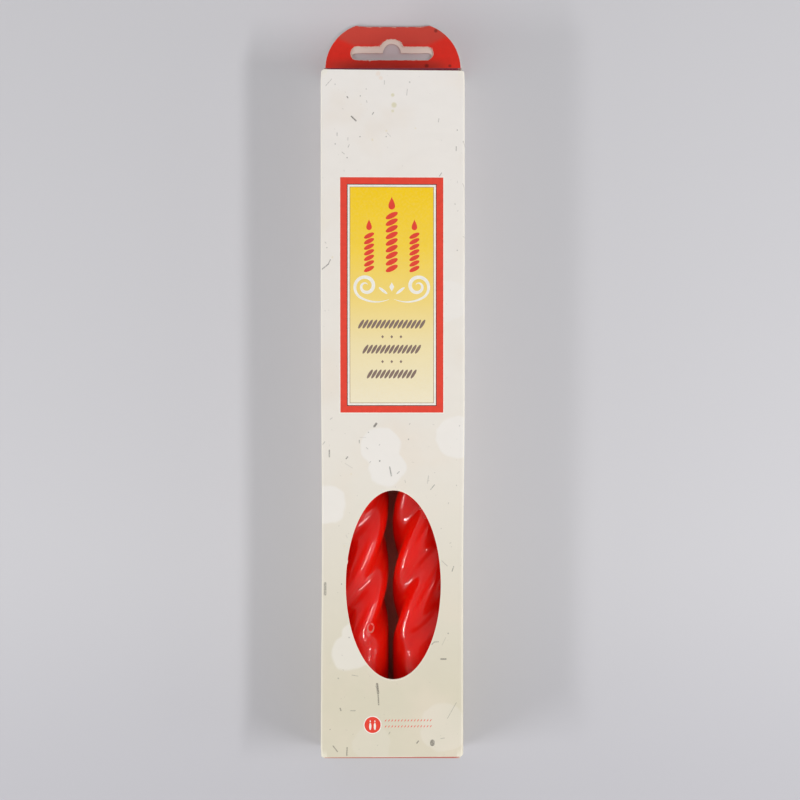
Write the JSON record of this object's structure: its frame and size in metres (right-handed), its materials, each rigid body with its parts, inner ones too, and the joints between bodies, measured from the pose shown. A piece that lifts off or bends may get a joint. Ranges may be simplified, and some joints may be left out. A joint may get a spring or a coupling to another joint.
{
  "type": "boxed spiral candles",
  "caption": "Red spiral candles lying side by side in a slim folding carton with an oval front window, tuck closures at both ends and a hang tab.",
  "frame": {"origin": "middle of the back panel's outer face, on which the pack lies", "axes": "+Z out of the front with the window, +Y along the pack towards the hang tab, +X to the right as seen from the front"},
  "size_m": [0.0534, 0.2761, 0.027],
  "materials": {
    "printed_board": "satin",
    "red_board": "satin",
    "bare_board": "matte",
    "red_wax": "gloss",
    "wick_cotton": "matte"
  },
  "bodies": {
    "carton": {"front_panel": "printed_board", "back_panel": "printed_board", "left_side_panel": "printed_board", "right_side_panel": "printed_board", "glue_flap": "bare_board", "tab_rear_ply": "red_board", "tab_front_ply": "red_board"},
    "top_lid": {"top_lid": "red_board"},
    "top_tuck_flap": {"top_tuck_flap": "printed_board"},
    "top_dust_flap_left": {"top_dust_flap_left": "bare_board"},
    "top_dust_flap_right": {"top_dust_flap_right": "bare_board"},
    "bottom_lid": {"bottom_lid": "printed_board"},
    "bottom_tuck_flap": {"bottom_tuck_flap": "printed_board"},
    "bottom_dust_flap_left": {"bottom_dust_flap_left": "bare_board"},
    "bottom_dust_flap_right": {"bottom_dust_flap_right": "bare_board"},
    "left_candle": {"left_candle_wax": "red_wax", "left_candle_wick": "wick_cotton"},
    "right_candle": {"right_candle_wax": "red_wax", "right_candle_wick": "wick_cotton"}
  },
  "joints": [
    {"name": "top_lid_crease", "type": "hinge", "parent": "carton", "child": "top_lid", "pos_m": [0, 0.12775, 0.0012], "axis": [-1, 0, 0], "range_deg": [0, 90]},
    {"name": "top_tuck_crease", "type": "hinge", "parent": "top_lid", "child": "top_tuck_flap", "pos_m": [0, 0.1273, 0.0258], "axis": [-1, 0, 0], "range_deg": [-72, 0]},
    {"name": "bottom_lid_crease", "type": "hinge", "parent": "carton", "child": "bottom_lid", "pos_m": [0, -0.12775, 0.00075], "axis": [1, 0, 0], "range_deg": [0, 90]},
    {"name": "bottom_tuck_crease", "type": "hinge", "parent": "bottom_lid", "child": "bottom_tuck_flap", "pos_m": [0, -0.1273, 0.0258], "axis": [1, 0, 0], "range_deg": [-72, 0]},
    {"name": "top_dust_crease_left", "type": "hinge", "parent": "carton", "child": "top_dust_flap_left", "pos_m": [-0.02625, 0.12655, 0.011], "axis": [0, 0, -1], "range_deg": [0, 8]},
    {"name": "top_dust_crease_right", "type": "hinge", "parent": "carton", "child": "top_dust_flap_right", "pos_m": [0.02625, 0.12655, 0.011], "axis": [0, 0, 1], "range_deg": [0, 8]},
    {"name": "bottom_dust_crease_left", "type": "hinge", "parent": "carton", "child": "bottom_dust_flap_left", "pos_m": [-0.02625, -0.12655, 0.011], "axis": [0, 0, 1], "range_deg": [0, 4]},
    {"name": "bottom_dust_crease_right", "type": "hinge", "parent": "carton", "child": "bottom_dust_flap_right", "pos_m": [0.02625, -0.12655, 0.011], "axis": [0, 0, -1], "range_deg": [0, 4]},
    {"name": "left_candle_play", "type": "slide", "parent": "carton", "child": "left_candle", "axis": [0, 1, 0], "range_m": [0, 0.0018]},
    {"name": "right_candle_play", "type": "slide", "parent": "carton", "child": "right_candle", "axis": [0, 1, 0], "range_m": [0, 0.0018]}
  ],
  "couplings": [
    {"joint": "top_tuck_crease", "follows": "top_lid_crease", "ratio": -0.8},
    {"joint": "bottom_tuck_crease", "follows": "bottom_lid_crease", "ratio": -0.8}
  ]
}
